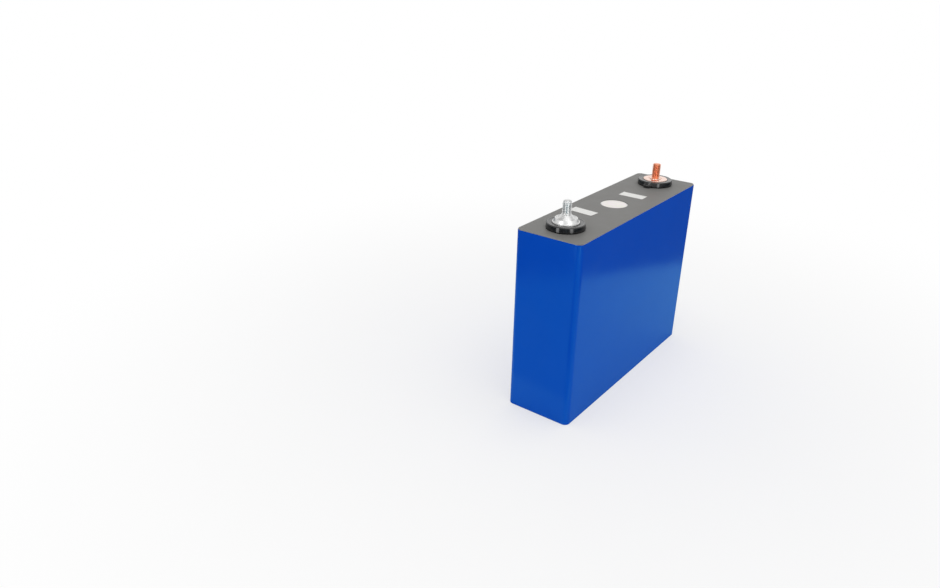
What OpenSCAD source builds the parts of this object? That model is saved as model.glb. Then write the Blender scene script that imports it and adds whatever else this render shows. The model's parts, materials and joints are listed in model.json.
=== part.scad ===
// Prismatic lithium cell in an aluminium can, with a threaded stud at each end of its top.
// Millimetres. X runs along the cell, positive stud at -X, negative stud at +X. Z is up,
// and the origin is at the centre of the bottom face.

/* [Body] */
// Length over the blue film
body_l = 174; // [160:1:200]
// Thickness over the blue film
body_t = 48; // [46:1:60]
// Height to the top of the grey film
body_h = 130; // [110:1:210]
// Radius of the vertical corners over the blue film
corner_r = 4; // [3:0.5:6]
// Thickness of the blue film
wrap_t = 0.15; // [0.1:0.05:0.3]
// Thickness of the grey top film
top_film_t = 0.5; // [0.3:0.1:0.8]

/* [Can and cover] */
// Wall of the can
can_wall = 0.8; // [0.6:0.1:1]
// Bottom of the can
can_floor = 1.2; // [1:0.1:2]
// Thickness of the cover plate
cover_t = 3; // [2.5:0.1:3.5]

/* [Terminals] */
// Distance between the two studs
stud_pitch = 131; // [110:1:136]
// Radius of the M6 studs
stud_r = 3; // [3:0.5:4]
// Height of the positive stud above its black ring
positive_stud_h = 14.5; // [12:0.1:22]
// Height of the negative stud above its black ring
negative_stud_h = 11.6; // [10:0.1:20]
// Outer radius of the black rings
ring_r = 12.9; // [12.5:0.1:14]
// Height of the black rings above the cover plate
ring_h = 4.5; // [4:0.1:5]
// Radius of the metal discs in the rings
disc_r = 8.9; // [8.6:0.1:9.8]

/* [Vent and labels] */
// Radius of the window over the vent
window_r = 9.5; // [9.3:0.1:11]
// Length of a label
label_l = 18.5; // [16:0.5:22]
// Width of a label
label_w = 8.5; // [6:0.5:9]
// Tilt of the hand-placed label at the positive end, in degrees
label_tilt = -5.5; // [-10:0.5:10]

/* [Electrode cores] */
// Number of wound cores side by side
core_count = 4; // [4:2:4]
// Gap between neighbouring cores
core_gap = 0.1; // [0.1:0.1:0.2]
// Thickness of the insulating bag
bag_t = 0.2; // [0.1:0.1:0.3]

/* [Hidden] */
$fn = 96;

// Small lap by which a cutter passes the face that it cuts
lap = 1;

// Levels of the shell
can_l = body_l - 2 * wrap_t;
can_w = body_t - 2 * wrap_t;
can_r = corner_r - wrap_t;
can_top = body_h - top_film_t;
inner_l = can_l - 2 * can_wall;
inner_w = can_w - 2 * can_wall;
inner_r = can_r - can_wall;
inner_floor = wrap_t + can_floor;
cover_bottom = can_top - cover_t;

// The grey film stops just short of the can's edge
top_film_inset = 0.2;
// Play between the grey film's cut-outs and the rings
film_play = 0.2;

// Terminal parts, from the inside out
stud_x = stud_pitch / 2;
post_r = 5;
post_flange_r = 9;
post_flange_t = 2;
post_spigot_r = 3.6;
seal_lip_r = 8.4;
cover_hole_r = 6.5;
ring_floor_t = 1.5;
ring_top = can_top + ring_h;
ring_base_r = ring_r - 0.5;
ring_base_h = 1.1;
disc_base = can_top + ring_floor_t;
post_top = disc_base + 1.5;
stud_base = post_top + 0.3;
shank_r = stud_r - 0.4;
positive_tip_h = 1.5;
negative_tip_h = 0.7;
tip_taper = 0.7;

// Lug at the foot of a black ring, on the side towards the middle of the cell
lug_r = 3.4;
lug_h = 2.6;
lug_reach = 11.8;

// Positive terminal above its ring
flange_rise = 0.6;
step_r = 7.5;
step_rise = 3;
flare_foot_r = 6.1;
flare_top_r = 3.4;
flare_rise = 5.3;
flare_power = 1.15;
flare_steps = 12;
positive_face = ring_top + flare_rise;

// Negative terminal above its ring
copper_rise = 0.3;
boss_r = 4.1;
boss_rise = 0.35;
groove_w = 1.2;
groove_depth = 0.4;
negative_face = ring_top + copper_rise + boss_rise;

// Vent
vent_hole_r = 7.8;
vent_seat_r = 8.7;
vent_seat_depth = 0.6;
membrane_t = 0.25;
score_r = 6.4;
score_w = 0.3;
score_depth = 0.12;
vent_film_t = 0.2;

// Filling hole
fill_x = 34;
fill_r = 1.6;
fill_cap_r = 3.2;
fill_cap_t = 0.8;

// Labels
label_t = 0.1;
negative_label_x = 26.5;
negative_label_y = -1.2;
positive_label_x = -28.8;
positive_label_y = 8.3;

// Inner stack, from the top down
insulator_t = 1.5;
insulator_bottom = cover_bottom - insulator_t;
insulator_gap = 0.4;
insulator_side_play = 0.6;
skirt_t = 1;
skirt_h = 4.5;
slot_w = 1.8;
slot_l = 13;
slot_pitch = 3.6;
slots_per_half = 2;
collector_t = 1.5;
flange_bottom = insulator_bottom - post_flange_t;
collector_bottom = flange_bottom - collector_t;
collector_outer_x = stud_x + 11;
collector_inner_x = 15;
collector_end_w = 24;
collector_neck_w = 16;
collector_neck_x = stud_x - 11;
collector_land_x = stud_x - 17;
collector_land_w = 38;
fuse_slot_l = 11;
fuse_slot_w = 2.4;

// Bag, support plate and cores
bag_play = 0.05;
bag_l = inner_l - 2 * bag_play;
bag_w = inner_w - 2 * bag_play;
bag_top = cover_bottom - insulator_t - skirt_h - 1;
support_t = 1;
support_play = 0.2;
support_holes = 9;
support_hole_r = 3;
core_floor = inner_floor + bag_t + support_t;
core_top = collector_bottom - 7.5;
core_l = inner_l - 4.5;
tape_t = 0.12;
core_space = inner_w - 2 * (bag_play + bag_t + tape_t + 0.15);
core_pitch = core_space / core_count;
core_t = core_pitch - core_gap;
mandrel_gap = 0.5;
tape_w = 18;
tape_count = 3;

// Foil tabs
tab_t = 0.5;
tab_l = 30;
tab_x = 32;
tab_fold = 4.6;

blue = [0.05, 0.30, 0.75];
grey = [0.53, 0.53, 0.52];
white = [0.92, 0.92, 0.91];
black = [0.07, 0.07, 0.07];
silver = [0.80, 0.81, 0.82];
copper = [0.83, 0.45, 0.26];
rubber = [0.15, 0.15, 0.15];
natural = [0.90, 0.90, 0.86];

// Upright block with rounded vertical corners, centred on the Z axis, from z0 to z1
module rounded_block(l, w, r, z0, z1) {
    translate([0, 0, z0]) linear_extrude(z1 - z0) {
        square([l - 2 * r, w], center = true);
        square([l, w - 2 * r], center = true);
        for (x = [-1, 1], y = [-1, 1])
            translate([x * (l / 2 - r), y * (w / 2 - r)]) circle(r);
    }
}

// Round disc or shaft standing from z0 to z1
module disc(r, z0, z1) {
    translate([0, 0, z0]) cylinder(r = r, h = z1 - z0);
}

// Places a part at the positive (side = -1) or negative (side = 1) terminal
module at_terminal(side) {
    translate([side * stud_x, 0, 0]) children();
}

module film_wrap() {
    color(blue) difference() {
        rounded_block(body_l, body_t, corner_r, 0, can_top);
        rounded_block(can_l, can_w, can_r, wrap_t, can_top + lap);
    }
}

module can() {
    color(silver) difference() {
        rounded_block(can_l, can_w, can_r, wrap_t, can_top);
        rounded_block(inner_l, inner_w, inner_r, inner_floor, can_top + lap);
    }
}

module cover_plate() {
    color(silver) difference() {
        rounded_block(inner_l, inner_w, inner_r, cover_bottom, can_top);
        for (side = [-1, 1])
            at_terminal(side) disc(cover_hole_r, cover_bottom - lap, can_top + lap);
        disc(vent_hole_r, cover_bottom - lap, can_top + lap);
        disc(vent_seat_r, can_top - vent_seat_depth, can_top + lap);
        translate([fill_x, 0, 0]) {
            disc(fill_r, cover_bottom - lap, can_top + lap);
            disc(fill_cap_r, can_top - fill_cap_t, can_top + lap);
        }
    }
}

module top_film() {
    color(grey) difference() {
        rounded_block(can_l - 2 * top_film_inset, can_w - 2 * top_film_inset,
                      can_r - top_film_inset, can_top, body_h);
        disc(window_r, can_top - lap, body_h + lap);
        for (side = [-1, 1]) at_terminal(side) {
            disc(ring_r + film_play, can_top - lap, body_h + lap);
            translate([-side * lug_reach, 0, 0])
                disc(lug_r + film_play, can_top - lap, body_h + lap);
        }
    }
}

module vent_film() {
    color(white) disc(window_r - film_play, can_top, can_top + vent_film_t);
}

module burst_disc() {
    seat = can_top - vent_seat_depth;
    top = seat + membrane_t;
    color(silver) difference() {
        disc(vent_seat_r, seat, can_top);
        disc(vent_hole_r, top, can_top + lap);
        difference() {
            disc(score_r + score_w, top - score_depth, top + lap);
            disc(score_r, top - score_depth - lap, top + 2 * lap);
        }
        for (a = [0, 90]) rotate([0, 0, a])
            translate([-score_r, -score_w / 2, top - score_depth])
                cube([2 * score_r, score_w, score_depth + lap]);
    }
}

module label(x, y, tilt) {
    color(white) translate([x, y, body_h]) rotate([0, 0, tilt])
        translate([-label_w / 2, -label_l / 2, 0]) cube([label_w, label_l, label_t]);
}

module label_negative_end() {
    label(negative_label_x, negative_label_y, 0);
}

module label_positive_end() {
    label(positive_label_x, positive_label_y, label_tilt);
}

module fill_seal() {
    color(rubber) translate([fill_x, 0, 0]) disc(fill_r, cover_bottom, can_top - fill_cap_t);
}

module fill_cap() {
    color(silver) translate([fill_x, 0, 0]) disc(fill_cap_r, can_top - fill_cap_t, can_top);
}

// Black ring: a narrower foot, a full-width head, a floor round the post and a lug at the foot
module ring(side) {
    color(black) at_terminal(side) difference() {
        union() {
            disc(ring_base_r, can_top, ring_top);
            disc(ring_r, can_top + ring_base_h, ring_top);
            translate([-side * lug_reach, 0, 0]) disc(lug_r, can_top, can_top + lug_h);
        }
        disc(disc_r, disc_base, ring_top + lap);
        disc(post_r, can_top - lap, ring_top + lap);
    }
}

module positive_ring() {
    ring(-1);
}

module negative_ring() {
    ring(1);
}

// Rubber seal: a sleeve in the cover's hole and a lip under the cover
module seal(side) {
    color(rubber) at_terminal(side) difference() {
        union() {
            disc(cover_hole_r, cover_bottom - lap / 2, can_top);
            disc(seal_lip_r, insulator_bottom, cover_bottom);
        }
        disc(post_r, insulator_bottom - lap, can_top + lap);
    }
}

module positive_seal() {
    seal(-1);
}

module negative_seal() {
    seal(1);
}

// Post through the cover: a flange inside the can, a shaft and a spigot into the collector
module post(side) {
    at_terminal(side) {
        disc(post_spigot_r, collector_bottom, flange_bottom);
        disc(post_flange_r, flange_bottom, insulator_bottom);
        disc(post_r, insulator_bottom - lap / 2, post_top);
    }
}

module positive_post() {
    color(silver) post(-1);
}

module negative_post() {
    color(copper) post(1);
}

// Radius of the slightly hollow, flared neck at a fraction t of its height
function flare_radius(t) =
    flare_top_r + (flare_foot_r - flare_top_r) * pow(1 - t, flare_power);

module positive_terminal() {
    flange_top = ring_top + flange_rise;
    step_top = ring_top + step_rise;
    neck_h = positive_face - step_top;
    profile = concat(
        [[0, disc_base], [disc_r, disc_base], [disc_r, flange_top], [step_r, flange_top],
         [step_r, step_top]],
        [for (i = [0:flare_steps])
            [flare_radius(i / flare_steps), step_top + neck_h * i / flare_steps]],
        [[0, positive_face]]
    );
    color(silver) at_terminal(-1) difference() {
        rotate_extrude() polygon(profile);
        disc(post_r, disc_base - lap, post_top);
        disc(shank_r, stud_base, positive_face + lap);
    }
}

module negative_terminal() {
    disc_top = ring_top + copper_rise;
    color(copper) at_terminal(1) difference() {
        union() {
            disc(disc_r, disc_base, disc_top);
            disc(boss_r, disc_base, negative_face);
        }
        difference() {
            disc(boss_r + groove_w, disc_top - groove_depth, disc_top + lap);
            disc(boss_r, disc_top - groove_depth - lap, disc_top + 2 * lap);
        }
        disc(post_r, disc_base - lap, post_top);
        disc(shank_r, stud_base, negative_face + lap);
    }
}

// Stud: a thinner shank down into the terminal, the full-width thread and a tapered tip
module stud(side, face, top, tip_h) {
    at_terminal(side) {
        disc(shank_r, stud_base, face + lap);
        disc(stud_r, face, top - tip_h);
        translate([0, 0, top - tip_h])
            cylinder(r1 = stud_r, r2 = stud_r - tip_taper, h = tip_h);
    }
}

module positive_stud() {
    color(silver) stud(-1, positive_face, ring_top + positive_stud_h, positive_tip_h);
}

module negative_stud() {
    color(copper) stud(1, negative_face, ring_top + negative_stud_h, negative_tip_h);
}

// Half of the plate under the cover, with vent slots at the middle and skirts down its sides
module lower_insulator(side) {
    half_l = inner_l / 2 - insulator_side_play;
    w = inner_w - 2 * insulator_side_play;
    color(black) mirror([side < 0 ? 1 : 0, 0, 0]) difference() {
        union() {
            translate([insulator_gap / 2, -w / 2, insulator_bottom])
                cube([half_l - insulator_gap / 2 - inner_r, w, insulator_t]);
            translate([half_l - inner_r - lap, -w / 2 + inner_r, insulator_bottom])
                cube([inner_r + lap, w - 2 * inner_r, insulator_t]);
            for (y = [-1, 1]) {
                translate([half_l - inner_r, y * (w / 2 - inner_r), insulator_bottom])
                    cylinder(r = inner_r, h = insulator_t);
                translate([insulator_gap / 2, y * (w - skirt_t) / 2 - skirt_t / 2,
                           insulator_bottom - skirt_h])
                    cube([half_l - insulator_gap / 2 - inner_r, skirt_t, skirt_h + lap]);
            }
        }
        translate([stud_x, 0, 0]) disc(seal_lip_r, insulator_bottom - lap, cover_bottom + lap);
        for (i = [0:slots_per_half - 1])
            translate([slot_pitch * (i + 0.5) - slot_w / 2, -slot_l / 2, insulator_bottom - lap])
                cube([slot_w, slot_l, insulator_t + 2 * lap]);
    }
}

module positive_lower_insulator() {
    lower_insulator(-1);
}

module negative_lower_insulator() {
    lower_insulator(1);
}

// Flat bar of a collector from x0 to x1
module collector_bar(x0, x1, w) {
    translate([x0, -w / 2, collector_bottom]) cube([x1 - x0, w, collector_t]);
}

// Flat plate under the post: an end under the post, a neck and a wide land for the tabs
module collector(side, fuse) {
    mirror([side < 0 ? 1 : 0, 0, 0]) difference() {
        union() {
            collector_bar(collector_neck_x, collector_outer_x, collector_end_w);
            collector_bar(collector_land_x - lap, collector_neck_x + lap, collector_neck_w);
            collector_bar(collector_inner_x, collector_land_x, collector_land_w);
        }
        translate([stud_x, 0, 0])
            disc(post_spigot_r, collector_bottom - lap, flange_bottom + lap);
        if (fuse) translate([collector_land_x + lap * 2, -fuse_slot_l / 2, collector_bottom - lap])
            cube([fuse_slot_w, fuse_slot_l, collector_t + 2 * lap]);
    }
}

module positive_collector() {
    color(silver) collector(-1, true);
}

module negative_collector() {
    color(copper) collector(1, false);
}

// Y of the middle of core i, counted from 0
function core_y(i) = (i - (core_count - 1) / 2) * core_pitch;

// Foil stacks: each rises from its core and folds over towards its neighbour under the collector
module tabs(side) {
    for (i = [0:core_count - 1]) {
        fold = i % 2 == 0 ? 1 : -1;
        translate([side * tab_x - tab_l / 2, core_y(i), 0]) {
            translate([0, -tab_t / 2, core_top])
                cube([tab_l, tab_t, collector_bottom - core_top]);
            translate([0, fold > 0 ? -tab_t / 2 : tab_t / 2 - tab_fold, collector_bottom - tab_t])
                cube([tab_l, tab_fold, tab_t]);
        }
    }
}

module positive_tabs() {
    color(silver) tabs(-1);
}

module negative_tabs() {
    color(copper) tabs(1);
}

// Flat wound core with round ends and the thin gap left by its mandrel
module electrode_core(i) {
    flat = core_l - core_t;
    color(natural) translate([0, core_y(i), 0]) difference() {
        union() {
            translate([-flat / 2, -core_t / 2, core_floor])
                cube([flat, core_t, core_top - core_floor]);
            for (x = [-1, 1])
                translate([x * flat / 2, 0, 0]) disc(core_t / 2, core_floor, core_top);
        }
        translate([-flat / 2, -mandrel_gap / 2, core_floor - lap])
            cube([flat, mandrel_gap, core_top - core_floor - 2]);
    }
}

module electrode_core_1() {
    electrode_core(0);
}

module electrode_core_2() {
    electrode_core(1);
}

module electrode_core_3() {
    electrode_core(2);
}

module electrode_core_4() {
    electrode_core(3);
}

// Closed bands of tape round all the cores
module core_tapes() {
    w = core_count * core_pitch - core_gap;
    color(blue) for (i = [1:tape_count]) {
        mid = core_floor + (core_top - core_floor) * i / (tape_count + 1);
        difference() {
            rounded_block(core_l + 2 * tape_t, w + 2 * tape_t, core_t / 2 + tape_t,
                          mid - tape_w / 2, mid + tape_w / 2);
            rounded_block(core_l, w, core_t / 2, mid - tape_w, mid + tape_w);
        }
    }
}

module inner_bag() {
    color(natural) difference() {
        rounded_block(bag_l, bag_w, inner_r, inner_floor, bag_top);
        rounded_block(bag_l - 2 * bag_t, bag_w - 2 * bag_t, inner_r - bag_t,
                      inner_floor + bag_t, bag_top + lap);
    }
}

module support_plate() {
    l = bag_l - 2 * (bag_t + support_play);
    w = bag_w - 2 * (bag_t + support_play);
    z = inner_floor + bag_t;
    color(natural) difference() {
        rounded_block(l, w, inner_r - bag_t - support_play, z, z + support_t);
        for (i = [0:support_holes - 1], y = [-1, 1])
            translate([(i - (support_holes - 1) / 2) * l / support_holes, y * w / 4, 0])
                disc(support_hole_r, z - lap, z + support_t + lap);
    }
}

film_wrap();
can();
cover_plate();
top_film();
vent_film();
burst_disc();
label_negative_end();
label_positive_end();
fill_seal();
fill_cap();
positive_ring();
negative_ring();
positive_seal();
negative_seal();
positive_post();
negative_post();
positive_terminal();
negative_terminal();
positive_stud();
negative_stud();
positive_lower_insulator();
negative_lower_insulator();
positive_collector();
negative_collector();
positive_tabs();
negative_tabs();
electrode_core_1();
electrode_core_2();
electrode_core_3();
electrode_core_4();
core_tapes();
inner_bag();
support_plate();
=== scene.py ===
"""Looks of a prismatic battery cell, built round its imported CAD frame."""
import json
import math

import bmesh
import bpy
from mathutils import Matrix, Vector, noise


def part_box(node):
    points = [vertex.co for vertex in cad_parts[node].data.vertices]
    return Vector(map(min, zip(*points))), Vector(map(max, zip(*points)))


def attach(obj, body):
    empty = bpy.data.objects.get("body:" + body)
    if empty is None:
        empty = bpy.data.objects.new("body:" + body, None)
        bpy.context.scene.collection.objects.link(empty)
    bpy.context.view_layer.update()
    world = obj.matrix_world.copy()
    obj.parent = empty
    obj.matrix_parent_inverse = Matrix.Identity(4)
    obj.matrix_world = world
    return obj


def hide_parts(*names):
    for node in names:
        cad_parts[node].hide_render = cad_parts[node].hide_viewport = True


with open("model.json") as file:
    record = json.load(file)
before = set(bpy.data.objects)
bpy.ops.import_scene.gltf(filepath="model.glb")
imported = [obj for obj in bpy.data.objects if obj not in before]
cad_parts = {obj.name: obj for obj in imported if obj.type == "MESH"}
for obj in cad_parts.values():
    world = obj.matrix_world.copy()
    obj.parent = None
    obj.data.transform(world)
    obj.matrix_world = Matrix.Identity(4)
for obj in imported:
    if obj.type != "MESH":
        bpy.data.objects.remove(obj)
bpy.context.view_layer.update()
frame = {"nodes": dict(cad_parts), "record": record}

# Lengths are in millimetres below, in the frame's own axes, and MM turns them into metres
MM = 0.001


def box_mm(node):
    """Lowest and highest corner of a CAD node, in millimetres."""
    low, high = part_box(node)
    return low / MM, high / MM


def axis_of(node):
    """The upright axis through the middle of a CAD node, as (x, y) in millimetres."""
    low, high = box_mm(node)
    return ((low.x + high.x) / 2, (low.y + high.y) / 2)


WRAP_HIGH = box_mm("film_wrap")[1]
FILM_LOW, FILM_HIGH = box_mm("top_film")
CORNER_R = 4.0
FILM_CORNER_R = 3.65
WINDOW_R = 9.5
# Lug of a ring: its radius and its distance from the ring's middle
LUG_R = 3.4
LUG_REACH = 11.8
# How much narrower a ring's foot is than its head
RING_FOOT_STEP = 0.5

# ---------------------------------------------------------------- materials


class Nodes:
    """A node tree that is built a node at a time."""

    def __init__(self, owner):
        owner.use_nodes = True
        self.data = owner
        self.tree = owner.node_tree

    def add(self, kind, inputs=(), **settings):
        """A new node with its settings and its inputs, which are sockets or constants."""
        node = self.tree.nodes.new("ShaderNode" + kind)
        for key, value in settings.items():
            setattr(node, key, value)
        for key, value in dict(inputs).items():
            if isinstance(value, bpy.types.NodeSocket):
                self.tree.links.new(value, node.inputs[key])
            else:
                node.inputs[key].default_value = value
        return node

    def span(self, value, low, high, new_low=0.0, new_high=1.0, kind="SMOOTHSTEP"):
        """The value taken from one range to another, and held inside it."""
        inputs = {0: value, 1: low, 2: high, 3: new_low, 4: new_high}
        return self.add("MapRange", inputs, interpolation_type=kind).outputs[0]

    def calc(self, operation, *values):
        return self.add("Math", dict(enumerate(values)), operation=operation).outputs[0]

    def along(self, spot, direction):
        """How far a spot lies along a level direction."""
        inputs = {0: spot, 1: (*direction, 0)}
        return self.add("VectorMath", inputs, operation="DOT_PRODUCT").outputs["Value"]

    def blend(self, share, first, second):
        """A colour between two colours, or between colour sockets."""
        node = self.add("Mix", {"Factor": share}, data_type="RGBA")
        for index, colour in ((6, first), (7, second)):
            if isinstance(colour, bpy.types.NodeSocket):
                self.tree.links.new(colour, node.inputs[index])
            else:
                node.inputs[index].default_value = (*colour, 1)
        return node.outputs[2]


class Look(Nodes):
    """A Principled material with detail placed by the frame's coordinates."""

    def __init__(self, name, **constants):
        super().__init__(bpy.data.materials.new(name))
        self.shader = self.tree.nodes["Principled BSDF"]
        self.place = self.tree.nodes.new("ShaderNodeTexCoord").outputs["Object"]
        for socket, value in constants.items():
            self.shader.inputs[socket.replace("_", " ")].default_value = value

    def join(self, socket, name):
        self.tree.links.new(socket, self.shader.inputs[name])

    def shifted(self, centre=(0, 0, 0), stretch=(1, 1, 1)):
        """The frame's coordinates, measured from a centre in millimetres and stretched."""
        away = self.add("VectorMath", {0: self.place, 1: [c * MM for c in centre]}, operation="SUBTRACT")
        return self.add("VectorMath", {0: away.outputs[0], 1: stretch}, operation="MULTIPLY").outputs[0]

    def grain(self, size, detail=2.0, rough=0.5, warp=0.0, stretch=(1, 1, 1)):
        """Noise from 0 to 1 whose blobs are about size millimetres across."""
        inputs = {
            "Vector": self.shifted(stretch=stretch),
            "Scale": 1 / (size * MM),
            "Detail": detail,
            "Roughness": rough,
            "Distortion": warp,
        }
        return self.add("TexNoise", inputs).outputs["Fac"]

    def bump(self, height, depth, below=None):
        """A bump of that depth in millimetres, on top of the bump below."""
        inputs = {"Height": height, "Distance": depth * MM, "Strength": 1.0}
        if below is not None:
            inputs["Normal"] = below
        return self.add("Bump", inputs).outputs["Normal"]

    def radius(self, centre):
        """Distance in metres from the upright axis through a centre in millimetres."""
        flat = self.shifted(centre, (1, 1, 0))
        return self.add("VectorMath", {0: flat}, operation="LENGTH").outputs["Value"]

    def edge_highlight_mask(self, low=0.52, high=0.6):
        """From 0 on flats to 1 on convex edges, where a lighter colour is painted as an edge highlight."""
        point = self.add("NewGeometry").outputs["Pointiness"]
        return self.span(point, low, high)


def blue_film():
    look = Look("blue_film", IOR=1.5, Specular_Tint=(0.15, 0.8, 1.0, 1.0))
    cloud = look.grain(38, detail=2)
    speck = look.grain(0.5, detail=3)
    colour = look.blend(cloud, (0.0010, 0.056, 0.450), (0.0014, 0.062, 0.477))
    dust = look.span(speck, 0.72, 0.82, 0, 0.12)
    look.join(look.blend(dust, colour, (0.16, 0.26, 0.52)), "Base Color")
    handling = look.grain(22, detail=4, rough=0.6, warp=0.6)
    look.join(look.span(handling, 0.3, 0.7, 0.11, 0.17), "Roughness")
    slack = look.bump(look.grain(26, detail=1.5), 0.10)
    peel = look.bump(look.grain(1.6, detail=2), 0.0018, slack)
    scratch = look.grain(1.1, detail=1, warp=0.3, stretch=(1, 1, 0.04))
    look.join(look.bump(look.span(scratch, 0.66, 0.70), 0.0012, peel), "Normal")
    return look.data


def grey_film():
    look = Look("grey_film", IOR=1.45)
    mottle = look.grain(9, detail=4, rough=0.6)
    tone = look.blend(look.span(mottle, 0.3, 0.7), (0.168, 0.166, 0.159), (0.185, 0.182, 0.174))
    fibre = look.grain(0.35, detail=3)
    tone = look.blend(look.span(fibre, 0.62, 0.78, 0, 0.35), tone, (0.245, 0.24, 0.23))
    # A lighter band along the film's outer edge: a painted edge highlight
    parts = look.add("SeparateXYZ", {0: look.place}).outputs
    past_x = look.calc("SUBTRACT", look.calc("ABSOLUTE", parts["X"]), (FILM_HIGH.x - 0.4) * MM)
    past_y = look.calc("SUBTRACT", look.calc("ABSOLUTE", parts["Y"]), (FILM_HIGH.y - 0.4) * MM)
    rim = look.span(look.calc("MAXIMUM", past_x, past_y), 0, 0.35 * MM, 0, 0.6)
    look.join(look.blend(rim, tone, (0.30, 0.295, 0.285)), "Base Color")
    look.join(look.span(mottle, 0.3, 0.7, 0.5, 0.62), "Roughness")
    weave = look.bump(look.grain(0.3, detail=2), 0.012)
    look.join(look.bump(look.grain(20, detail=2), 0.02, weave), "Normal")
    return look.data


def white_film():
    look = Look("white_film", IOR=1.5)
    tint = look.grain(5, detail=2, warp=1.0)
    colour = look.blend(look.span(tint, 0.35, 0.6), (0.82, 0.80, 0.72), (0.84, 0.78, 0.78))
    rim = look.span(look.radius((0, 0, 0)), 8.2 * MM, 9.1 * MM)
    look.join(look.blend(rim, colour, (0.70, 0.70, 0.69)), "Base Color")
    look.join(look.span(look.grain(2.5, detail=3), 0.3, 0.7, 0.28, 0.42), "Roughness")
    crease = look.bump(look.grain(3.2, detail=3, warp=1.4), 0.10)
    look.join(look.bump(look.grain(0.25), 0.004, crease), "Normal")
    return look.data


def label_paper():
    look = Look("label_paper", IOR=1.45)
    pulp = look.grain(1.2, detail=5, rough=0.65)
    colour = look.blend(pulp, (0.74, 0.735, 0.71), (0.80, 0.795, 0.78))
    handled = look.span(look.grain(6, detail=2), 0.55, 0.75, 0, 0.25)
    look.join(look.blend(handled, colour, (0.62, 0.61, 0.58)), "Base Color")
    look.join(look.span(pulp, 0.3, 0.7, 0.42, 0.58), "Roughness")
    look.join(look.bump(look.grain(0.22, detail=3), 0.006), "Normal")
    return look.data


def ring_plastic():
    look = Look("ring_plastic", IOR=1.52)
    flow = look.grain(7, detail=3, warp=0.5)
    colour = look.blend(flow, (0.006, 0.006, 0.0065), (0.010, 0.010, 0.011))
    # Upward-facing surfaces are painted a mottled grey: a painted sheen that stands for the reflection the
    # flat top shows
    upward = look.add("SeparateXYZ", {0: look.add("NewGeometry").outputs["Normal"]}).outputs["Z"]
    painted_top_sheen = look.blend(look.grain(1.4, detail=4), (0.050, 0.050, 0.050), (0.085, 0.084, 0.082))
    colour = look.blend(look.span(upward, 0.75, 0.98, 0, 0.8), colour, painted_top_sheen)
    # Convex edges are painted lighter: a painted edge highlight
    edge = look.span(look.edge_highlight_mask(), 0, 1, 0, 0.3)
    look.join(look.blend(edge, colour, (0.05, 0.05, 0.05)), "Base Color")
    look.join(look.span(look.grain(2.2, detail=4), 0.3, 0.7, 0.13, 0.19), "Roughness")
    mould = look.bump(look.grain(0.28, detail=2), 0.0015)
    look.join(look.bump(look.grain(5, detail=2), 0.006, mould), "Normal")
    return look.data


def turned_metal(name, centre, bright, deep, stain, rough, pitch):
    """Bare metal turned round an upright axis: fine rings, slight staining and brighter edges, which are a
    painted edge highlight.
    """
    look = Look(name, Metallic=1.0)
    reach = look.radius(centre)
    wander = look.calc("MULTIPLY", look.grain(2.5, detail=2), 0.25 * MM)
    phase = look.calc("MULTIPLY", look.calc("ADD", reach, wander), 2 * math.pi / (pitch * MM))
    rings = look.calc("SINE", phase)
    tarnish = look.grain(3.5, detail=5, rough=0.65, warp=0.8)
    colour = look.blend(look.span(rings, -1, 1, 0, 0.25), bright, deep)
    colour = look.blend(look.span(tarnish, 0.5, 0.75, 0, 0.4), colour, stain)
    # Convex edges are painted toward the bright colour: a painted edge highlight
    look.join(look.blend(look.span(look.edge_highlight_mask(), 0, 1, 0, 0.5), colour, bright), "Base Color")
    patch = look.span(tarnish, 0.3, 0.7, rough - 0.04, rough + 0.05)
    look.join(look.calc("ADD", patch, look.span(rings, -1, 1, -0.02, 0.02)), "Roughness")
    groove = look.bump(rings, 0.002)
    look.join(look.bump(look.grain(0.4, detail=3), 0.003, groove), "Normal")
    return look.data


def sheet_metal(name, light, dark, rough, streak):
    """Rolled or drawn metal with streaks along one direction."""
    look = Look(name, Metallic=1.0)
    lines = look.grain(0.6, detail=4, rough=0.6, stretch=streak)
    cloud = look.grain(14, detail=4, rough=0.6)
    share = look.calc("MULTIPLY", look.calc("ADD", lines, cloud), 0.5)
    look.join(look.blend(look.span(share, 0.35, 0.65), dark, light), "Base Color")
    look.join(look.span(cloud, 0.3, 0.7, rough - 0.06, rough + 0.08), "Roughness")
    look.join(look.bump(lines, 0.006), "Normal")
    return look.data


def moulded(name, light, dark, rough, size=0.4, depth=0.01):
    """Plastic, rubber, tape or film, with a fine surface grain and a slow change of tone."""
    look = Look(name)
    cloud = look.grain(11, detail=4, rough=0.6, warp=0.4)
    look.join(look.blend(look.span(cloud, 0.3, 0.7), dark, light), "Base Color")
    look.join(look.span(look.grain(3, detail=3), 0.3, 0.7, rough - 0.07, rough + 0.07), "Roughness")
    fine = look.bump(look.grain(size, detail=3), depth)
    look.join(look.bump(cloud, 0.05, fine), "Normal")
    return look.data


def foil_stack(name, light, dark, rough):
    """Edges of many welded foils: thin lines along the cell and a crushed weld."""
    look = Look(name, Metallic=1.0)
    height = look.grain(0.12, detail=1, stretch=(0.02, 1, 1))
    look.join(look.blend(look.span(height, 0.4, 0.6), dark, light), "Base Color")
    look.join(look.span(look.grain(4, detail=3), 0.3, 0.7, rough - 0.08, rough + 0.1), "Roughness")
    crumple = look.bump(look.grain(2.4, detail=3, warp=0.8), 0.08)
    look.join(look.bump(height, 0.01, crumple), "Normal")
    return look.data


# ---------------------------------------------------------------- mesh helpers


def place(name, vertices, faces, material, slot, *nodes, sharp=32.0):
    """Makes a piece from vertices in millimetres, rides it on the frame and lets it stand for CAD nodes."""
    mesh = bpy.data.meshes.new(name)
    mesh.from_pydata([Vector(v) * MM for v in vertices], [], faces)
    shape = bmesh.new()
    shape.from_mesh(mesh)
    bmesh.ops.recalc_face_normals(shape, faces=shape.faces)
    shape.to_mesh(mesh)
    shape.free()
    return adopt(name, mesh, material, slot, *nodes, sharp=sharp)


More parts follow.
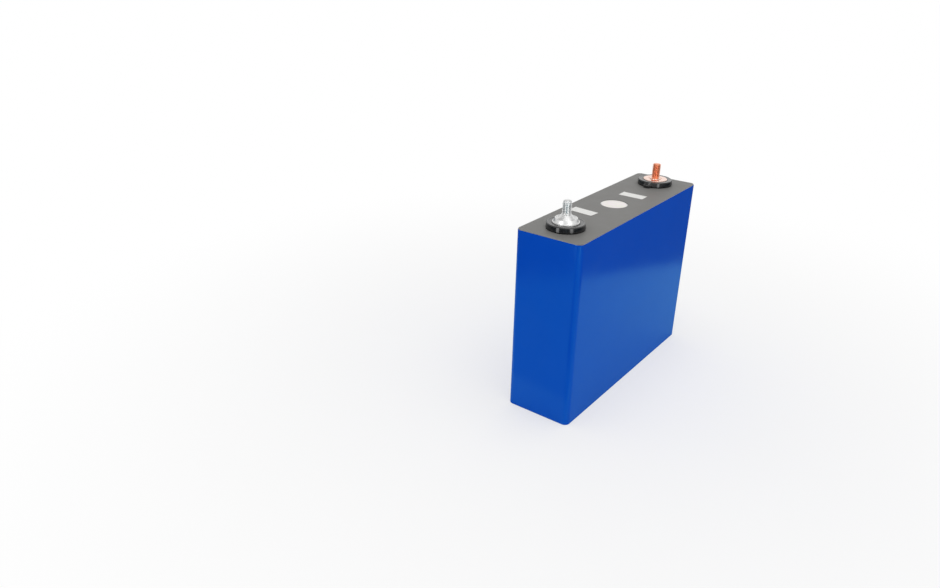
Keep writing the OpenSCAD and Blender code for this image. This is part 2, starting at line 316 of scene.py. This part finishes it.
def adopt(name, mesh, material, slot, *nodes, sharp=32.0):
    for face in mesh.polygons:
        face.use_smooth = True
    mesh.set_sharp_from_angle(angle=math.radians(sharp))
    mesh.materials.clear()
    mesh.materials.append(material)
    piece = bpy.data.objects.new(name, mesh)
    bpy.context.scene.collection.objects.link(piece)
    flats = piece.modifiers.new("flats", "WEIGHTED_NORMAL")
    flats.weight = 100
    flats.keep_sharp = True
    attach(piece, "root")
    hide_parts(*nodes)
    return piece


def filleted(corners, closed=False, steps=5):
    """Points of a profile whose corners (r, z, fillet) are rounded by their own fillet."""
    points = []
    count = len(corners)
    for index, (r, z, fillet) in enumerate(corners):
        here = Vector((r, z))
        ends = index in (0, count - 1) and not closed
        if fillet <= 0 or ends:
            points.append(here)
            continue
        back = (Vector(corners[index - 1][:2]) - here).normalized()
        ahead = (Vector(corners[(index + 1) % count][:2]) - here).normalized()
        half = back.angle(ahead) / 2
        centre = here + (back + ahead).normalized() * fillet / math.sin(half)
        first = here + back * fillet / math.tan(half) - centre
        last = here + ahead * fillet / math.tan(half) - centre
        sweep = first.angle(last)
        for step in range(steps + 1):
            share = step / steps
            reach = first * math.sin((1 - share) * sweep) + last * math.sin(share * sweep)
            points.append(centre + reach / math.sin(sweep))
    return [tuple(p) for p in points]


def revolved(profile, centre, segments=96, closed=False):
    """Vertices and faces of a profile of (r, z) turned round the upright axis at a centre."""
    vertices, rows, faces = [], [], []
    for r, z in profile:
        if r < 1e-6:
            rows.append([len(vertices)])
            vertices.append((centre[0], centre[1], z))
            continue
        rows.append(list(range(len(vertices), len(vertices) + segments)))
        for step in range(segments):
            turn = 2 * math.pi * step / segments
            vertices.append((centre[0] + r * math.cos(turn), centre[1] + r * math.sin(turn), z))
    pairs = list(zip(rows, rows[1:]))
    if closed:
        pairs.append((rows[-1], rows[0]))
    for low, high in pairs:
        for step in range(segments):
            after = (step + 1) % segments
            if len(low) == 1 and len(high) == 1:
                continue
            if len(low) == 1:
                faces.append((low[0], high[after], high[step]))
            elif len(high) == 1:
                faces.append((low[step], low[after], high[0]))
            else:
                faces.append((low[step], low[after], high[after], high[step]))
    return vertices, faces


# ---------------------------------------------------------------- blue film wrap


def wrap_columns():
    """Points round the wrap, as (x, y, outward x, outward y), closer together where it has detail."""
    half_x = WRAP_HIGH.x - CORNER_R
    half_y = WRAP_HIGH.y - CORNER_R
    columns = []
    order = (
        ((half_x, half_y), 0, (-1, 0), half_x * 2),
        ((-half_x, half_y), 90, (0, -1), half_y * 2),
        ((-half_x, -half_y), 180, (1, 0), half_x * 2),
        ((half_x, -half_y), 270, (0, 1), half_y * 2),
    )
    for (cx, cy), start, along, length in order:
        for step in range(13):
            turn = math.radians(start + 90 * step / 12)
            nx, ny = math.cos(turn), math.sin(turn)
            columns.append((cx + CORNER_R * nx, cy + CORNER_R * ny, nx, ny))
        nx, ny = math.cos(math.radians(start + 90)), math.sin(math.radians(start + 90))
        count = round(length / 1.25)
        for step in range(1, count):
            reach = length * step / count
            x = cx + CORNER_R * nx + along[0] * reach
            y = cy + CORNER_R * ny + along[1] * reach
            columns.append((x, y, nx, ny))
    return columns


# Creases in the film: face normal (x, y), two ends (along the face, height), width and depth
CREASES = (
    ((0, -1), (26.0, 125.4), (47.0, 127.6), 0.9, 0.07),
    ((0, -1), (79.0, 113.0), (81.5, 126.5), 1.1, 0.06),
    ((0, 1), (-52.0, 124.8), (-36.0, 127.2), 0.8, 0.05),
    ((-1, 0), (19.2, 30.0), (19.8, 96.0), 0.9, 0.04),
    ((-1, 0), (-18.6, 44.0), (-17.4, 106.0), 1.3, 0.06),
)
SEAM_Y = 2.6
SEAM_STEP = 0.05
FILM_SLACK = 0.1
FILM_THICKNESS = 0.14
FOOT_ROUND = 0.6
# The wrap's rounded top edge: distance below its top and how far it is drawn in
TOP_LIP = ((0.45, 0.0), (0.2, 0.02), (0.06, 0.06), (0.0, 0.12))


def crease_depth(x, y, z, nx, ny):
    deep = 0.0
    for normal, start, end, width, depth in CREASES:
        if nx * normal[0] + ny * normal[1] < 0.9:
            continue
        along = x if normal[0] == 0 else y
        here = Vector((along, z)) - Vector(start)
        line = Vector(end) - Vector(start)
        share = max(0.0, min(1.0, here.dot(line) / line.length_squared))
        gap = (here - line * share).length
        fade = math.sin(math.pi * min(1.0, max(0.0, 0.08 + 0.84 * share)))
        deep += depth * fade * math.exp(-((gap / width) ** 2))
    return deep


def film_dip(x, y, z, nx, ny):
    """How far the film lies inside its flat place: slow waves, the overlap's step and the creases."""
    slow = noise.noise(Vector((x / 34, y / 34, z / 30)))
    quick = noise.noise(Vector((x / 9 + 40, y / 9, z / 16)))
    dip = 0.035 + 0.03 * slow + 0.008 * quick
    if nx < -0.9:
        dip += SEAM_STEP * 0.5 * (1 + math.tanh((SEAM_Y - y) / 0.35))
    dip += crease_depth(x, y, z, nx, ny)
    top = WRAP_HIGH.z - z
    if top < 1.0:
        dip *= top
    if z < 1.5:
        dip *= max(0.0, (z - 0.5))
    return max(0.0, min(FILM_SLACK, dip))


def wrap_rows():
    """Heights of the wrap's rows and how far each is drawn in by the rounded foot."""
    rows = []
    for turn in range(0, 90, 18):
        a = math.radians(turn)
        rows.append((FOOT_ROUND * (1 - math.cos(a)), FOOT_ROUND * (1 - math.sin(a))))
    z = FOOT_ROUND
    while z < WRAP_HIGH.z - 12.5:
        rows.append((z, 0.0))
        z += 2.0
    top = WRAP_HIGH.z - 12.0
    while top < WRAP_HIGH.z - 0.7:
        rows.append((top, 0.0))
        top += 0.75
    rows += [(WRAP_HIGH.z - below, inset) for below, inset in TOP_LIP]
    return rows


def make_wrap(material):
    columns = wrap_columns()
    vertices, loops, faces = [], [], []
    for z, inset in wrap_rows():
        loops.append(range(len(vertices), len(vertices) + len(columns)))
        for x, y, nx, ny in columns:
            dip = inset + film_dip(x, y, z, nx, ny)
            vertices.append((x - nx * dip, y - ny * dip, z))
    thick = FILM_THICKNESS
    for z, inset in ((WRAP_HIGH.z, thick), (thick + FOOT_ROUND, thick), (thick, FOOT_ROUND + thick)):
        loops.append(range(len(vertices), len(vertices) + len(columns)))
        vertices += [(x - nx * inset, y - ny * inset, z) for x, y, nx, ny in columns]
    for low, high in zip(loops, loops[1:]):
        for step in range(len(columns)):
            after = (step + 1) % len(columns)
            faces.append((low[step], low[after], high[after], high[step]))
    faces.append(tuple(reversed(loops[0])))
    faces.append(tuple(loops[-1]))
    return place("film_wrap_detailed", vertices, faces, material, "blue_film", "film_wrap")


# ---------------------------------------------------------------- top film, vent film and labels


def cut_sheet(name, outline, holes, low, high, edge, material, slot, node):
    """A flat sheet with holes and softened edges, from closed outlines in millimetres."""
    curve = bpy.data.curves.new(name, "CURVE")
    curve.dimensions = "2D"
    curve.fill_mode = "BOTH"
    for points in (outline, *holes):
        spline = curve.splines.new("POLY")
        spline.points.add(len(points) - 1)
        for point, (x, y) in zip(spline.points, points):
            point.co = (x * MM, y * MM, 0, 1)
        spline.use_cyclic_u = True
    curve.extrude = ((high - low) / 2 - edge) * MM
    curve.bevel_depth = edge * MM
    curve.bevel_resolution = 2
    curve.offset = -edge * MM
    solid = bpy.data.objects.new(name + "_outline", curve)
    bpy.context.scene.collection.objects.link(solid)
    mesh = bpy.data.meshes.new_from_object(solid.evaluated_get(bpy.context.evaluated_depsgraph_get()))
    bpy.data.objects.remove(solid)
    mesh.transform(Matrix.Translation((0, 0, (low + high) / 2 * MM)))
    shape = bmesh.new()
    shape.from_mesh(mesh)
    bmesh.ops.remove_doubles(shape, verts=shape.verts, dist=0.0005 * MM)
    shape.to_mesh(mesh)
    shape.free()
    return adopt(name, mesh, material, slot, node, sharp=12)


def round_points(x, y, r, count=72):
    turns = [2 * math.pi * step / count for step in range(count)]
    return [(x + r * math.cos(t), y + r * math.sin(t)) for t in turns]


def rectangle_points(half_x, half_y, r, steps=10):
    points = []
    for sx, sy, start in ((1, 1, 0), (-1, 1, 90), (-1, -1, 180), (1, -1, 270)):
        for step in range(steps + 1):
            turn = math.radians(start + 90 * step / steps)
            points.append((sx * (half_x - r) + r * math.cos(turn), sy * (half_y - r) + r * math.sin(turn)))
    return points


def keyhole_points(x, r, lug_x, lug_r, count=96):
    """Outline of a round hole joined by the smaller round hole of the ring's lug."""
    points = []
    for step in range(count):
        turn = 2 * math.pi * step / count
        ux, uy = math.cos(turn), math.sin(turn)
        reach = r
        gap = (lug_x - x) * ux
        side = lug_r ** 2 - ((lug_x - x) * uy) ** 2
        if side > 0 and gap > 0:
            reach = max(reach, gap + math.sqrt(side))
        points.append((x + reach * ux, reach * uy))
    return points


def make_top_film(material):
    """The grey film, with its window over the vent and a cut-out round each ring and its lug."""
    holes = [round_points(0, 0, WINDOW_R)]
    for side in ("positive", "negative"):
        x = axis_of(side + "_stud")[0]
        low, high = box_mm(side + "_ring")
        foot = (high.y - low.y) / 2 - RING_FOOT_STEP + 0.1
        reach = LUG_REACH if x < 0 else -LUG_REACH
        holes.append(keyhole_points(x, foot, x + reach, LUG_R + 0.1))
    outline = rectangle_points(FILM_HIGH.x, FILM_HIGH.y, FILM_CORNER_R)
    cut_sheet("top_film_detailed", outline, holes, FILM_LOW.z, FILM_HIGH.z, 0.12, material, "grey_film",
              "top_film")


def make_label(node, material):
    """A stuck-on label with slightly raised corners, in the place of its CAD node."""
    points = frame["nodes"][node].data.vertices
    corners = sorted({(round(v.co.x / MM, 3), round(v.co.y / MM, 3)) for v in points})
    low, high = box_mm(node)
    centre = Vector((sum(c[0] for c in corners) / len(corners), sum(c[1] for c in corners) / len(corners)))
    far = max((Vector(c) - centre for c in corners), key=lambda v: v.length * (v.x > 0 and v.y > 0))
    nearest = [Vector(c) - centre for c in corners]
    ahead = min((v for v in nearest if v.x * far.x < 0 and v.y * far.y > 0), key=lambda v: (v - far).length)
    across = (far - ahead) / 2
    along = (far + ahead) / 2
    counts = (14, 30)
    half = (across.length, along.length)
    u_axis, v_axis = across.normalized(), along.normalized()
    vertices, faces = [], []
    thickness = high.z - low.z
    for layer in (0, 1):
        for i in range(counts[0] + 1):
            for j in range(counts[1] + 1):
                u = -1 + 2 * i / counts[0]
                v = -1 + 2 * j / counts[1]
                corner = max(0.0, abs(u) - 0.72) * max(0.0, abs(v) - 0.84) / (0.28 * 0.16)
                lift = 0.10 * corner ** 1.5 + 0.012 * (1 + noise.noise(Vector((u * 2, v * 4, low.x))))
                inset = 0.06 * layer
                spot = centre + u_axis * u * (half[0] - inset) + v_axis * v * (half[1] - inset)
                base = low.z + lift * (0.6 if layer == 0 else 1.0)
                vertices.append((spot.x, spot.y, base + (thickness * 0.95 if layer else 0.0)))
    size = (counts[0] + 1) * (counts[1] + 1)
    wide = counts[1] + 1

    def index(layer, i, j):
        return layer * size + i * wide + j

    for i in range(counts[0]):
        for j in range(counts[1]):
            for layer in (0, 1):
                square = ((i, j), (i + 1, j), (i + 1, j + 1), (i, j + 1))
                faces.append(tuple(index(layer, a, b) for a, b in square))
    rim = [(i, 0) for i in range(counts[0])] + [(counts[0], j) for j in range(counts[1])]
    rim += [(i, counts[1]) for i in range(counts[0], 0, -1)] + [(0, j) for j in range(counts[1], 0, -1)]
    for (i, j), (k, l) in zip(rim, rim[1:] + rim[:1]):
        faces.append((index(0, i, j), index(0, k, l), index(1, k, l), index(1, i, j)))
    return place(node + "_detailed", vertices, faces, material, "label_paper", node)


def make_vent_film(material):
    """The round film over the vent: a low dome with small wrinkles and a flat stuck rim."""
    low, high = box_mm("vent_film")
    r = (high.x - low.x) / 2
    steps = 26
    profile = [(0.0, low.z)] + [(r * s / 4, low.z) for s in (1, 2, 3, 4)]
    profile += [(r, high.z - 0.05), (r - 0.05, high.z)]
    profile += [((r - 0.1) * (1 - s / steps), high.z) for s in range(1, steps + 1)]
    vertices, faces = revolved(profile, (0, 0), 96)
    shaped = []
    for x, y, z in vertices:
        reach = math.hypot(x, y)
        inner = max(0.0, 1 - (reach / (r - 1.2)) ** 2)
        if z >= high.z - 1e-6:
            ripple = noise.noise(Vector((x / 2.6, y / 2.6, 3.0)))
            z += 0.16 * inner + 0.05 * ripple * min(1.0, inner * 3)
        shaped.append((x, y, z))
    return place("vent_film_detailed", shaped, faces, material, "white_film", "vent_film")


# ---------------------------------------------------------------- terminals


# Flat sides that stand for a full turn of a terminal or a ring
ROUND_STEPS = 128


def make_ring(side, material):
    """Moulded ring: rounded head, narrower foot, a pocket for the metal disc and a lug at the foot."""
    node = side + "_ring"
    low, high = box_mm(node)
    x, y = axis_of(side + "_stud")
    inward = 1 if x < 0 else -1
    outer = (high.y - low.y) / 2
    foot = outer - RING_FOOT_STEP
    pocket = (box_mm(side + "_terminal")[1].y - box_mm(side + "_terminal")[0].y) / 2
    floor = box_mm(side + "_terminal")[0].z
    profile = filleted([
        (5.0, low.z, 0.1), (foot, low.z, 0.15), (foot, low.z + 1.0, 0.2),
        (outer, low.z + 1.2, 0.15), (outer - 0.45, high.z, 0.7), (outer - 1.4, high.z, 0.1),
        (outer - 1.7, high.z - 0.12, 0.1), (pocket + 0.5, high.z - 0.12, 0.3),
        (pocket + 0.02, high.z - 0.5, 0.1), (pocket + 0.02, floor, 0.1), (5.0, floor, 0.1),
    ], closed=True)
    shape = revolved(profile, (x, y), ROUND_STEPS, closed=True)
    body = place(node + "_detailed", *shape, material, "ring_plastic", node)
    lug_x = x + inward * LUG_REACH
    lug_profile = filleted([
        (0.0, low.z, 0), (LUG_R, low.z, 0.1), (LUG_R, low.z + 2.6, 0.45), (1.5, low.z + 2.6, 0.15),
        (1.5, low.z + 2.1, 0.1), (0.0, low.z + 2.1, 0),
    ])
    lug = place(side + "_lug_cutter", *revolved(lug_profile, (lug_x, y), 64), material, "ring_plastic", node)
    join = body.modifiers.new("lug", "BOOLEAN")
    join.operation = "UNION"
    join.solver = "EXACT"
    join.object = lug
    body.modifiers["flats"].show_viewport = False
    mesh = bpy.data.meshes.new_from_object(body.evaluated_get(bpy.context.evaluated_depsgraph_get()))
    body.modifiers["flats"].show_viewport = True
    body.modifiers.remove(join)
    body.data = mesh
    bpy.data.objects.remove(lug)
    for face in mesh.polygons:
        face.use_smooth = True
    mesh.set_sharp_from_angle(angle=math.radians(32))
    return body


def make_positive_terminal(material):
    """Turned flange, rimmed step and flared neck with faint tool marks."""
    low, high = box_mm("positive_terminal")
    r = (high.x - low.x) / 2
    ring_top = box_mm("positive_ring")[1].z
    flange_top = ring_top + 0.6
    step_top = ring_top + 3.0
    rim = step_top - 0.3
    profile = filleted([
        (0, low.z, 0), (r - 0.04, low.z, 0.1), (r - 0.04, flange_top, 0.22), (8.15, flange_top, 0.1),
        (7.35, step_top, 0.5), (6.75, step_top, 0.12), (6.55, rim, 0.1), (5.95, rim, 0.15),
        (5.8, rim + 0.1, 0),
    ])
    steps = 48
    for index in range(1, steps + 1):
        share = index / steps
        flare = 3.4 + 2.4 * (1 - share) ** 1.15
        tool = 0.05 * math.sin(share * math.pi * 7) * min(1.0, 8 * (1 - share), 8 * share) - 0.03
        profile.append((flare + tool, rim + 0.1 + (high.z - rim - 0.1) * share))
    profile += [(3.2, high.z), (0.0, high.z)]
    place("positive_terminal_detailed", *revolved(profile, axis_of("positive_stud"), ROUND_STEPS), material,
          "terminal_aluminium", "positive_terminal")


def make_negative_terminal(material):
    """Turned copper disc with a shallow groove round a low boss."""
    low, high = box_mm("negative_terminal")
    r = (high.x - low.x) / 2
    face = high.z - 0.35
    profile = filleted([
        (0, low.z, 0), (r - 0.04, low.z, 0.1), (r - 0.04, face, 0.3), (5.3, face, 0.15),
        (5.2, face - 0.38, 0.12), (4.15, face - 0.38, 0.1), (4.1, high.z, 0.15), (0, high.z, 0),
    ])
    place("negative_terminal_detailed", *revolved(profile, axis_of("negative_stud"), ROUND_STEPS), material,
          "copper", "negative_terminal")


THREAD_PITCH = 1.0
THREAD_DEPTH = 0.6
TIP_ROUND = 0.55


def thread_cut(share):
    """Depth of the thread, from 0 at the crest to 1 at the root, over one pitch."""
    fold = abs(share - 0.5) * 2
    ramp = max(0.0, min(1.0, (fold - 0.14) / 0.62))
    return ramp * ramp * (3 - 2 * ramp)


def make_stud(side, tip, taper, material, slot):
    """Right-handed threaded stud with a run-out at its foot and a tapered, rounded tip."""
    node = side + "_stud"
    low, high = box_mm(node)
    x, y = axis_of(node)
    r = (high.x - low.x) / 2
    start = box_mm(side + "_terminal")[1].z
    segments = 56
    rows = round((high.z - start) / 0.09)
    vertices = [(x, y, low.z)]
    loops = []
    levels = [(low.z, r - 0.4), (start - 0.05, r - 0.4)]
    for z, reach in levels:
        loops.append(range(len(vertices), len(vertices) + segments))
        for step in range(segments):
            turn = 2 * math.pi * step / segments
            vertices.append((x + reach * math.cos(turn), y + reach * math.sin(turn), z))
    for row in range(rows + 1):
        z = start + (high.z - start) * row / rows
        loops.append(range(len(vertices), len(vertices) + segments))
        over = max(0.0, (z - (high.z - tip)) / tip)
        last = max(0.0, 1 - (high.z - z) / TIP_ROUND)
        crest = r - taper * over ** 1.4 - TIP_ROUND * (1 - math.sqrt(1 - last * last))
        foot = min(1.0, (z - start) / 0.9)
        for step in range(segments):
            turn = 2 * math.pi * step / segments
            share = ((z - start) / THREAD_PITCH - step / segments) % 1.0
            root = r - THREAD_DEPTH * thread_cut(share)
            flared = r - 0.35 + (root - r + 0.35) * foot
            reach = min(crest, flared)
            vertices.append((x + reach * math.cos(turn), y + reach * math.sin(turn), z))
    top = len(vertices)
    vertices.append((x, y, high.z))
    faces = []
    for below, above in zip(loops, loops[1:]):
        for step in range(segments):
            after = (step + 1) % segments
            faces.append((below[step], below[after], above[after], above[step]))
    for step in range(segments):
        after = (step + 1) % segments
        faces.append((0, loops[0][after], loops[0][step]))
        faces.append((loops[-1][step], loops[-1][after], top))
    place(node + "_threaded", vertices, faces, material, slot, node, sharp=48)


# ---------------------------------------------------------------- floor, light and camera

# Edges of the painted lit part of the floor, a painted reflection that only glossy surfaces see: outward
# direction and distance
LIT_EDGES = (((-0.70, 0.72), 295), ((0.513, -0.858), 195), ((0.6, 0.8), 240))
LIT_BLUR = 14
# Painted dark wedge of floor, a painted reflection that the front corner sees: direction, its sideways place
# and half width, its near end
WEDGE = ((-0.996, -0.087), 16, 34, 168)
WEDGE_BLUR = (8, 12)
# Painted strip of bright floor, a painted reflection along the narrow face: where it starts and ends, from
# the middle of the cell
BRIGHT_START = (86, 88)
BRIGHT_END = (112, 120)
# Painted reflection colours of the floor, which only glossy rays see: dim, lit and bright
DIM_FLOOR = (0.05, 0.09, 0.12)
LIT_FLOOR = (0.25, 0.60, 0.72)
BRIGHT_FLOOR = (0.55, 1.0, 1.0)
FLOOR_HALF = 30.0
# Seen directly, the floor fades to white: near and far distance in metres, share of white at each
FLOOR_FADE = (0.09, 0.50, 0.5, 1.0)
# Strength of the sky: low and high sine of its elevation, strength at each
SKY_FADE = (0.30, 0.75, 1.15, 0.5)
WHITE = (1, 1, 1, 1)
# Middle of the near ring's wall, in metres, which the two strip lights face
RING_WALL = (-0.0655, 0, 0.133)
STRIP = (0.10, 0.26)
CAMERA_PLACE = (-454.43, -222.12, 287.23)
HEADING = math.degrees(math.atan2(0.60763, 0.79422)) + 0.039
PITCH = 24.765
ROLL = 0.946
LENS = 28.18


def painted_floor_reflection(nodes, spot):
    """Colour of the floor to glossy surfaces, a painted reflection: a painted lit part, a dark wedge in it
    and a bright strip.
    """
    lit = 1.0
    for direction, distance in LIT_EDGES:
        reach = nodes.along(spot, direction)
        inside = nodes.span(reach, (distance - LIT_BLUR) * MM, (distance + LIT_BLUR) * MM, 1.0, 0.0)
        lit = nodes.calc("MULTIPLY", lit, inside)
    (ux, uy), aside, half, near_end = WEDGE
    side_blur, end_blur = WEDGE_BLUR
    ahead = nodes.along(spot, (ux, uy))
    off = nodes.calc("ABSOLUTE", nodes.calc("SUBTRACT", nodes.along(spot, (-uy, ux)), aside * MM))
    beside = nodes.span(off, (half - side_blur) * MM, (half + side_blur) * MM, 1.0, 0.0, "LINEAR")
    beyond = nodes.span(ahead, (near_end - end_blur) * MM, (near_end + end_blur) * MM, kind="LINEAR")
    clear = nodes.calc("SUBTRACT", 1.0, nodes.calc("MULTIPLY", beside, beyond))
    seen = nodes.blend(nodes.calc("MULTIPLY", lit, clear), DIM_FLOOR, LIT_FLOOR)
    start = nodes.span(ahead, BRIGHT_START[0] * MM, BRIGHT_START[1] * MM, kind="LINEAR")
    before_end = nodes.span(ahead, BRIGHT_END[0] * MM, BRIGHT_END[1] * MM, 1.0, 0.0, "LINEAR")
    return nodes.blend(nodes.calc("MULTIPLY", before_end, start), seen, BRIGHT_FLOOR)


def make_floor():
    look = bpy.data.materials.new("floor")
    nodes = Nodes(look)
    nodes.tree.nodes.clear()
    spot = nodes.add("NewGeometry").outputs["Position"]
    ray = nodes.add("LightPath").outputs
    grain = nodes.add("TexNoise", {"Vector": spot, "Scale": 9.0, "Detail": 3.0}).outputs["Fac"]
    pale = nodes.blend(grain, (0.91, 0.91, 0.91), (0.93, 0.93, 0.93))
    # Glossy rays see the painted reflection; other rays see the pale floor
    colour = nodes.blend(ray["Is Glossy Ray"], pale, painted_floor_reflection(nodes, spot))
    cloth = nodes.add("BsdfDiffuse", {"Color": colour})
    white = nodes.add("Emission", {"Color": WHITE, "Strength": 1.0})
    away = nodes.add("VectorMath", {0: spot}, operation="LENGTH").outputs["Value"]
    fade = nodes.calc("MULTIPLY", nodes.span(away, *FLOOR_FADE), ray["Is Camera Ray"])
    both = nodes.add("MixShader", {0: fade, 1: cloth.outputs[0], 2: white.outputs[0]})
    nodes.add("OutputMaterial", {0: both.outputs[0]})
    mesh = bpy.data.meshes.new("floor")
    corners = [(x * FLOOR_HALF, y * FLOOR_HALF, 0) for x, y in ((-1, -1), (1, -1), (1, 1), (-1, 1))]
    mesh.from_pydata(corners, [], [(0, 1, 2, 3)])
    mesh.materials.append(look)
    floor = bpy.data.objects.new("floor", mesh)
    bpy.context.scene.collection.objects.link(floor)


def make_world():
    world = bpy.data.worlds.new("studio")
    bpy.context.scene.world = world
    nodes = Nodes(world)
    nodes.tree.nodes.clear()
    direction = nodes.add("TexCoord").outputs["Generated"]
    height = nodes.add("SeparateXYZ", {0: direction}).outputs["Z"]
    soft = nodes.add("Background", {"Color": WHITE, "Strength": nodes.span(height, *SKY_FADE)})
    white = nodes.add("Background", {"Color": WHITE, "Strength": 1.0})
    seen = nodes.add("LightPath").outputs["Is Camera Ray"]
    mix = nodes.add("MixShader", {0: seen, 1: soft.outputs[0], 2: white.outputs[0]})
    nodes.add("OutputWorld", {0: mix.outputs[0]})


def softbox(name, aim, azimuth, elevation, distance, size, power, diffuse=True):
    """An area light in metres, at an azimuth from +X, facing the point aimed at."""
    a, e = math.radians(azimuth), math.radians(elevation)
    away = Vector((math.cos(a) * math.cos(e), math.sin(a) * math.cos(e), math.sin(e)))
    light = bpy.data.lights.new(name, "AREA")
    light.shape = "RECTANGLE"
    light.size, light.size_y = size
    light.energy = power
    lamp = bpy.data.objects.new(name, light)
    lamp.location = Vector(aim) + away * distance
    lamp.rotation_mode = "QUATERNION"
    lamp.rotation_quaternion = away.to_track_quat("Z", "Y")
    lamp.visible_diffuse = diffuse
    bpy.context.scene.collection.objects.link(lamp)


def make_lights():
    softbox("overhead", (0, 0, 0.09), 250, 80, 1.5, (1.5, 1.5), 8.5)
    softbox("strip_left", RING_WALL, 166, 0, 0.36, STRIP, 0.32, diffuse=False)
    softbox("strip_right", RING_WALL, 244, 0, 0.36, STRIP, 0.32, diffuse=False)


def make_camera():
    heading, pitch, roll = (math.radians(v) for v in (HEADING, PITCH, ROLL))
    level_reach = math.cos(pitch)
    ahead = Vector((math.cos(heading) * level_reach, math.sin(heading) * level_reach, -math.sin(pitch)))
    level = Vector((math.sin(heading), -math.cos(heading), 0))
    upright = level.cross(ahead)
    right = level * math.cos(roll) + upright * math.sin(roll)
    up = upright * math.cos(roll) - level * math.sin(roll)
    data = bpy.data.cameras.new("camera")
    data.lens = LENS
    data.sensor_width = 36
    data.clip_start = 0.01
    data.clip_end = 100
    camera = bpy.data.objects.new("camera", data)
    turn = Matrix((right, up, -ahead)).transposed().to_4x4()
    camera.matrix_world = Matrix.Translation(Vector(CAMERA_PLACE) * MM) @ turn
    bpy.context.scene.collection.objects.link(camera)
    bpy.context.scene.camera = camera


# ---------------------------------------------------------------- the whole scene


def dress_inner_nodes(aluminium, copper):
    """Gives every CAD node that stays its own material."""
    looks = {
        "can_aluminium": sheet_metal("can_aluminium", (0.80, 0.81, 0.82), (0.66, 0.67, 0.68), 0.32,
                                     (1, 1, 0.05)),
        "seal_rubber": moulded("seal_rubber", (0.035, 0.035, 0.035), (0.02, 0.02, 0.02), 0.7, 0.3, 0.02),
        "terminal_aluminium": aluminium,
        "copper": copper,
        "insulator_plastic": moulded("insulator_plastic", (0.06, 0.06, 0.062), (0.04, 0.04, 0.042), 0.48),
        "foil_aluminium": foil_stack("foil_aluminium", (0.86, 0.87, 0.88), (0.62, 0.63, 0.64), 0.3),
        "foil_copper": foil_stack("foil_copper", (0.86, 0.45, 0.30), (0.60, 0.26, 0.15), 0.32),
        "separator": moulded("separator", (0.82, 0.82, 0.79), (0.74, 0.74, 0.70), 0.5, 1.2, 0.02),
        "core_tape": moulded("core_tape", (0.06, 0.22, 0.52), (0.04, 0.17, 0.44), 0.35, 0.8, 0.01),
        "bag_film": moulded("bag_film", (0.74, 0.78, 0.76), (0.68, 0.72, 0.70), 0.3, 2.0, 0.03),
    }
    for row in frame["record"]["subparts"]:
        if row["material_slot"] in looks:
            slots = frame["nodes"][row["node"]].data.materials
            slots.clear()
            slots.append(looks[row["material_slot"]])


def make_pieces():
    blue = blue_film()
    grey = grey_film()
    white = white_film()
    paper = label_paper()
    black = ring_plastic()
    positive_at = (*axis_of("positive_stud"), 0)
    negative_at = (*axis_of("negative_stud"), 0)
    aluminium = turned_metal("terminal_aluminium", positive_at, (0.74, 0.74, 0.735), (0.56, 0.56, 0.56),
                             (0.50, 0.49, 0.465), 0.36, 0.22)
    copper = turned_metal("copper_disc", negative_at, (0.86, 0.64, 0.55), (0.74, 0.49, 0.40),
                          (0.52, 0.31, 0.24), 0.22, 0.25)
    thread_copper = turned_metal("copper_thread", negative_at, (0.90, 0.36, 0.20), (0.80, 0.27, 0.13),
                                 (0.60, 0.18, 0.09), 0.3, 0.9)
    dress_inner_nodes(aluminium, copper)
    make_wrap(blue)
    make_top_film(grey)
    make_vent_film(white)
    make_label("label_negative_end", paper)
    make_label("label_positive_end", paper)
    make_ring("positive", black)
    make_ring("negative", black)
    make_positive_terminal(aluminium)
    make_negative_terminal(copper)
    make_stud("positive", 2.3, 0.7, aluminium, "terminal_aluminium")
    make_stud("negative", 0.8, 0.35, thread_copper, "copper")


make_pieces()
make_floor()
make_world()
make_lights()
make_camera()
bpy.context.scene.view_settings.view_transform = "Standard"
